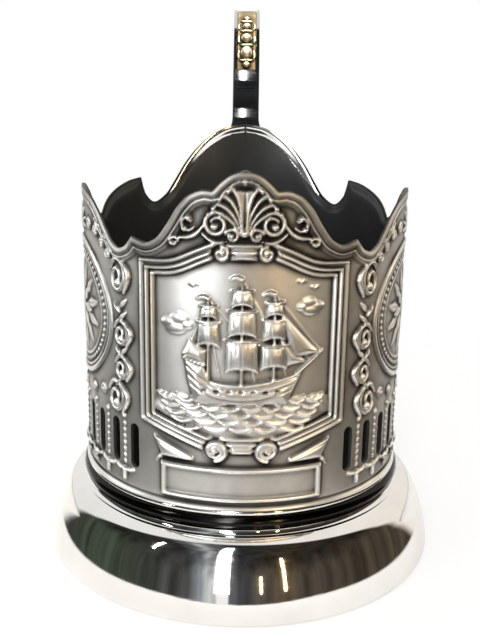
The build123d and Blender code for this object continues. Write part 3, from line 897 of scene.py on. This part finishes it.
def neck_profile():
    """Ring with a bulging outer side."""
    half, middle = (PLATE_Z - FOOT_H) / 2, (PLATE_Z + FOOT_H) / 2
    bow = (NECK_BULGE**2 + half**2) / (2 * NECK_BULGE)
    end = degrees(np.arcsin(half / bow))
    bore = [(NECK_BORE, FOOT_H), (NECK_BORE, PLATE_Z)]
    return np.vstack([bore, arc(NECK_R - bow, middle, bow, end, -end, 22)])


def plate_profile():
    """Disc with a spigot below, a rounded lip and a sunken seat for the glass."""
    ease, fillet = 0.45, 0.2
    seat = WALL_Z - SEAT_DROP
    return np.vstack([
        [(0, PLATE_Z - SPIGOT_H), (SPIGOT_R, PLATE_Z - SPIGOT_H), (SPIGOT_R, PLATE_Z)],
        arc(LIP_R - ease, PLATE_Z + ease, ease, -90, 0, 8), arc(LIP_R - ease, WALL_Z - ease, ease, 0, 90, 8),
        [(SEAT_R, WALL_Z)], arc(SEAT_R - fillet, seat + fillet, fillet, 0, -90, 4)[1:], [(0, seat)]])


# Handle

def handle_line(count):
    """Even points along the handle, with the way out of the loop at each, in (Y, Z)."""
    pts = through([(WALL_R + out, WALL_Z + up) for out, up in HANDLE_LINE], count)
    way = np.gradient(pts, axis=0)
    way /= np.hypot(*way.T)[:, None]
    return pts, np.column_stack([-way[:, 1], way[:, 0]])


def band_section():
    """The band's section as (across, out), round from the middle of its channel."""
    w, t = BAND_W / 2, BAND_T / 2
    rail, bed, front, back = w - RAIL, t - CHANNEL, 0.14, 0.55
    half = np.vstack([
        [(0, bed), (rail - 0.02, bed), (rail, bed + 0.04), (rail + 0.02, t), (w - RAIL / 2, t)],
        arc(w - front, t - front, front, 90, 0, 6), arc(w - back, back - t, back, 0, -90, 6), [(0, -t)]])
    return np.vstack([half, half[-2:0:-1] * [-1, 1]])


def make_band(steps=260, rising=0.3):
    """Channelled strip along the handle, flared at its root and seated on the lugs."""
    pts, out = handle_line(steps)
    loop = band_section()
    n = len(loop)
    flare = (1 - smooth(ROOT_LOW, ROOT_HIGH, pts[:, 1]))**1.6 * (np.arange(steps) < steps * rising)
    x = loop[:, 0] * (1 + (ROOT_W / BAND_W - 1) * flare)[:, None]
    y = pts[:, :1] + loop[:, 1] * out[:, :1]
    z = pts[:, 1:] + loop[:, 1] * out[:, 1:]
    y = np.where(np.hypot(x, y) < LUG_R, np.sqrt(np.maximum(LUG_R**2 - x**2, 1)), y)
    index = np.arange(steps * n).reshape(steps, n)
    faces = [quads(np.pad(index, ((0, 0), (0, 1)), mode="wrap").T).reshape(-1, 4)]
    for row, way in ((index[0], -1), (index[-1], 1)):
        faces += [[[row[k - 1], row[k], row[n - k], row[(n - k + 1) % n]][::way]] for k in range(1, n // 2)]
    verts = np.stack([x, y, z], -1).reshape(-1, 3)
    return new_object("handle_strip", verts, np.vstack(faces), [BAND_MAT], 28)


HUSKS = [  # share of the length, half width, half length, height
    (0.165, 1.5, 1.2, 0.34), (0.25, 1, 0.9, 0.85), (0.385, 1.55, 1.9, 1.4), (0.556, 1.45, 1.35, 1.3),
    (0.71, 1.1, 0.95, 0.95), (0.82, 0.8, 0.75, 0.65)]
COLLARS = (0.3, 0.475, 0.645, 0.775)
LEAFLETS = ((0.36, 1.5), (0.54, 1.3), (0.7, 1))  # share of the length, half length
REST_SKIN, REST_BED = 0.06, 0.36  # thickness of the plain end, and what the bed adds to it


def rest_heights(S, X, long):
    """Husks, collars and leaflets of the ornament over the band's channel."""
    ground = REST_SKIN + REST_BED
    h = REST_SKIN + REST_BED * smooth(0.17 * long, 0.21 * long, S)
    for share, wide, tall, high in HUSKS:
        q = (X / wide)**2 + ((S - share * long) / tall)**2
        h = np.maximum(h, (ground if share > 0.2 else REST_SKIN) + high * rounded(q))
    for share in COLLARS:
        q = ((S - share * long) / 0.34)**2 + (np.abs(X) / 1.7)**4
        h = np.maximum(h, ground + 0.55 * rounded(q))
    for share, tall in LEAFLETS:
        v = (S - share * long) / tall
        d = np.abs(np.abs(X) - 2.05 + 0.3 * v * v) / np.maximum(0.36 * (1 - v * v), 1e-3)
        h = np.maximum(h, np.where(np.abs(v) < 1, ground + 0.45 * rounded(d * d), 0))
    edge = np.minimum(np.minimum(S, long - S), REST_W - np.abs(X))
    return np.minimum(h, REST_SKIN + 1.8 * np.sqrt(np.clip(edge / 0.9, 0, 1)))


def make_rest(steps=150, across=41, fine=900):
    """Cast ornament in the band's channel: a chain of husks with leaves beside them."""
    pts, out = handle_line(fine)
    pick = np.linspace(*REST_SPAN, steps) * (fine - 1)
    base, way = [np.column_stack([np.interp(pick, np.arange(fine), line[:, k]) for k in range(2)])
                 for line in (pts, out)]
    s = lengths_along(base)
    S, X = np.meshgrid(s, np.linspace(-REST_W, REST_W, across), indexing="ij")
    long = s[-1]
    h = rest_heights(S, X, long)
    bed = BAND_T / 2 - CHANNEL + 0.02
    verts = []
    for level in (bed + h, np.full_like(h, bed)):
        y, z = [base[:, k:k + 1] + level * way[:, k:k + 1] for k in range(2)]
        verts.append(np.stack([X, y, z], -1).reshape(-1, 3))
    index = np.arange(S.size).reshape(S.shape)
    under = quads(index).reshape(-1, 4)
    rim = np.concatenate([index[:, 0], index[-1, 1:], index[-2::-1, -1], index[0, -2::-1]])
    edge = np.stack([rim[:-1], rim[1:], rim[1:] + S.size, rim[:-1] + S.size], -1)
    plain = np.concatenate([S[:-1, :-1].ravel() < 0.2 * long, np.zeros(len(under) + len(edge), bool)])
    # Dark ground, paler with height and on small high places; the top end is painted paler, a painted
    # reflection of the handle's top curving over.
    tone = np.clip(-0.25 + 0.9 * (h - blur(h, 4)) + h + 0.2 * smooth(0.8, 0.9, S / long), 0, 1)
    return new_object("thumb_ornament", np.vstack(verts), np.vstack([under[:, ::-1], under + S.size, edge]),
                      [WALL_MAT, BAND_MAT], 75, plain, np.concatenate([tone.ravel(), np.full(S.size, 0.3)]))


# The pieces on their CAD nodes

def dress(name, mat, ease=0.0):
    """Gives a CAD node its material, and eased edges where a width is given."""
    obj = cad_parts[name]
    obj.data.materials.clear()
    obj.data.materials.append(mat)
    if ease:
        bevel = obj.modifiers.new("eased", "BEVEL")
        bevel.width = ease
        bevel.segments = 3
        bevel.limit_method = "ANGLE"
        bevel.angle_limit = radians(50)
    return obj


sleeve = make_wall()
foot = lathe("foot_bell", foot_profile(), FOOT_MAT, 320)
neck = lathe("neck_bead", neck_profile(), NECK_SHADE_MAT, 256)
plate = lathe("floor_disc", plate_profile(), LIP_MAT, 256)
band = make_band()
rest = make_rest()
for piece, node, finish in (
        (sleeve, "sleeve", "blackened_plate"), (foot, "foot", "polished_plate"),
        (neck, "neck_ring", "polished_plate"), (plate, "floor_plate", "polished_plate"),
        (band, "handle_band", "polished_plate"), (rest, "thumb_rest", "blackened_plate")):
    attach(piece, "root")
    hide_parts(node)
for name in ("upper_lug", "lower_lug"):
    dress(name, BAND_MAT, 0.35 * MM)
# The seam takes the inside's near-black colour, painted shade in the well.
seam = dress("sleeve_seam", INSIDE_SHADE_MAT)


# Stage, in metres

FLOOR = 6.0
SHEET_X, SHEET_Y = 0.061, 0.092  # half width and front edge of the sheet that the metal mirrors
ROOM = [  # colours of the room from left to right
    (0, (0.058, 0.074, 0.053)), (0.05, (0.052, 0.06, 0.047)), (0.26, (0.078, 0.08, 0.078)),
    (0.32, (0.28, 0.31, 0.33)), (0.36, (0.95, 1, 1)), (0.41, (0.3, 0.31, 0.32)),
    (0.5, (0.062, 0.066, 0.072)), (0.66, (0.085, 0.068, 0.05)), (0.74, (0.105, 0.074, 0.046)),
    (0.8, (0.062, 0.052, 0.042)), (1, (0.066, 0.052, 0.036))]
PAPER = [(0, (0.9, 0.91, 0.89)), (0.5, (0.95, 0.94, 0.92)), (1, (0.95, 0.885, 0.8))]


def room_colour(g, way, across):
    """Dim room on the camera's side: upright streaks, darker high up, with one lit gap."""
    x, y, z = g.split(way)
    flat = g.node("VectorMath", {0: way, 1: (9.0, 9.0, 0.0)}, operation="MULTIPLY").outputs[0]
    streaks = g.node("TexNoise", {"Vector": flat, "Scale": 1.0, "Detail": 3.0}).outputs["Fac"]
    depth = g.step(streaks, 0.3, 0.7, 0.5, 1.5, soft=False)
    depth = g.maths("MULTIPLY", depth, g.step(z, 0.1, 0.5, 1.0, 0.4))
    dim = g.node("VectorMath", {0: g.ramp(across, ROOM), "Scale": depth}, operation="SCALE").outputs[0]
    slant = g.maths("DIVIDE", x, g.maths("MINIMUM", y, -0.01))
    gap = g.maths("MULTIPLY", g.step(slant, 0.09, 0.11), g.step(slant, 0.235, 0.205))
    return g.mix(g.maths("MULTIPLY", gap, g.step(z, 0.01, -0.01)), dim, WHITE)


def make_floor():
    """White for the camera, and a sheet with a front edge for what mirrors it."""
    mesh = bpy.data.meshes.new("floor")
    corners = [(x * FLOOR, y * FLOOR, 0) for x, y in ((-1, -1), (1, -1), (1, 1), (-1, 1))]
    mesh.from_pydata(corners, [], [(0, 1, 2, 3)])
    m, g, bsdf = material("floor_white")
    g.fill(bsdf, {"Base Color": (0.93, 0.92, 0.905, 1), "Roughness": 0.9, "Specular IOR Level": 0.0})
    where = g.node("TexCoord").outputs["Object"]
    x, y, _ = g.split(where)
    aside = g.maths("ABSOLUTE", x)
    past = [g.maths("POWER", g.maths("DIVIDE", value, size), 4.0)
            for value, size in ((aside, SHEET_X), (y, SHEET_Y))]
    off = g.step(g.maths("ADD", *past), 0.8, 1.2)
    before = g.step(g.maths("MULTIPLY_ADD", aside, -0.43, y), -0.008, -0.028)
    path = g.node("LightPath").outputs
    gone = g.maths("MULTIPLY", g.maths("MULTIPLY", off, before), path["Is Glossy Ray"])
    sheet = g.blend(gone, bsdf.outputs[0], g.node("BsdfTransparent").outputs[0])
    length = g.node("VectorMath", {0: where}, operation="LENGTH").outputs["Value"]
    seen = g.maths("MULTIPLY", g.step(length, 0.05, 0.22, 0.72, 1.0, soft=False), path["Is Camera Ray"])
    white = g.node("Emission", {"Color": WHITE}).outputs[0]
    g.fill(g.nodes["Material Output"], {"Surface": g.blend(seen, sheet, white)})
    mesh.materials.append(m)
    obj = placed("floor", mesh)
    return obj


def make_world():
    """White backdrop round the object and for the camera, and the dim room in front."""
    world = bpy.data.worlds.new("studio")
    scene.world = world
    world.use_nodes = True
    g = Graph(world.node_tree)
    way = g.node("TexCoord").outputs["Generated"]
    x, y, z = g.split(way)
    across = g.maths("MULTIPLY_ADD", x, 0.5, 0.5)
    low = g.maths("MAXIMUM", g.maths("SUBTRACT", 0.3, z), 0.0)
    lean = g.maths("MULTIPLY_ADD", x, 0.06, g.maths("MULTIPLY_ADD", z, 0.35, y))
    wall = g.step(g.maths("MULTIPLY_ADD", low, -0.45, lean), 0.22, 0.32)
    colour = g.mix(wall, room_colour(g, way, across), g.ramp(across, PAPER))
    seen = g.node("LightPath").outputs["Is Camera Ray"]
    g.fill(g.nodes["Background"], {"Color": g.mix(seen, colour, WHITE)})


def area(name, loc, aim, size, power, colour, lit):
    """A lamp that lights everything, or only the objects given."""
    data = bpy.data.lights.new(name, "AREA")
    data.shape = "RECTANGLE"
    data.size, data.size_y = size
    data.energy = power
    data.color = colour
    obj = placed(name, data)
    obj.location = loc
    obj.rotation_euler = (Vector(aim) - Vector(loc)).to_track_quat("-Z", "Y").to_euler()
    if lit:
        receivers = bpy.data.collections.new(name)
        for piece in lit:
            receivers.objects.link(piece)
        obj.light_linking.receiver_collection = receivers
    return obj


ground = make_floor()
make_world()
bright = [foot, neck, plate, ground]
well = [sleeve, seam]
LOW, MIDDLE = (0, 0, 0.05), (0, 0, 0.06)
LAMPS = (  # name, place, aim, size, watts, colour, what it lights alone
    ("window", (-0.086, -0.543, 0.6), (0, 0, 0.6), (0.075, 1.2), 4.0, (0.95, 0.98, 1.0), bright),
    ("lamp_left", (-0.479, -0.361, 0.375), LOW, (0.016, 0.24), 0.7, (1.0, 0.985, 0.95), bright),
    ("lamp_near", (0.125, -0.587, 0.06), LOW, (0.009, 0.12), 0.10, (1.0, 0.66, 0.28), None),
    ("lamp_far", (0.254, -0.544, 0.14), LOW, (0.011, 0.28), 0.34, (1.0, 0.70, 0.34), None),
    ("fill_left", (-0.37, -0.59, 0.12), MIDDLE, (0.3, 0.4), 2.6, (0.97, 0.985, 1.0), well),
    ("fill_front", (0, -0.62, 0.42), (0, 0, 0.09), (1.0, 0.14), 0.9, (1.0, 0.99, 0.97), well),
    ("side_left", (-0.65, -0.03, 0.15), MIDDLE, (0.4, 0.4), 1.5, (0.98, 0.99, 1.0), well),
    ("side_right", (0.65, -0.03, 0.15), MIDDLE, (0.4, 0.4), 0.9, (1.0, 0.88, 0.70), well),
    ("fill_right", (0.42, -0.55, 0.2), MIDDLE, (0.3, 0.4), 1.0, (1.0, 0.86, 0.66), well),
    ("lamp_thumb", (0.03, -0.12, 0.75), (0, 0.05, 0.11), (0.4, 0.3), 23.0, (1.0, 0.74, 0.38), [rest]),
    ("glint_low", (-0.0012, -0.462, 0.424), (0, 0.039, 0.094), (0.004, 0.033), 0.0026, (1, 1, 1), [band]),
    ("glint_high", (-0.0012, -0.343, 0.563), (0, 0.0425, 0.103), (0.004, 0.033), 0.0026, (1, 1, 1),
     [band, rest]),
)
overhead = area("overhead", (-0.15, -0.25, 0.9), (0, -0.05, 0), (0.8, 0.8), 4.6, (1.0, 0.985, 0.97), None)
overhead.visible_glossy = False
for lamp in LAMPS:
    area(*lamp)

# Camera of the photo
TILT, ROLL = radians(16.427), radians(0.872)
AIM_X, AIM_Z, DISTANCE, LENS = -0.63, 50.97, 226.87, 56.25


def make_camera():
    data = bpy.data.cameras.new("photo")
    data.sensor_width, data.sensor_fit, data.lens = 36.0, "AUTO", LENS
    data.clip_start, data.clip_end = 0.01, 20.0
    camera = placed("photo", data)
    eye = Vector((AIM_X, -DISTANCE * cos(TILT), AIM_Z + DISTANCE * sin(TILT))) * MM
    turn = Matrix.Rotation(pi / 2 - TILT, 4, "X") @ Matrix.Rotation(ROLL, 4, "Z")
    camera.matrix_world = Matrix.Translation(eye) @ turn
    scene.camera = camera


make_camera()
scene.view_settings.view_transform = "Standard"
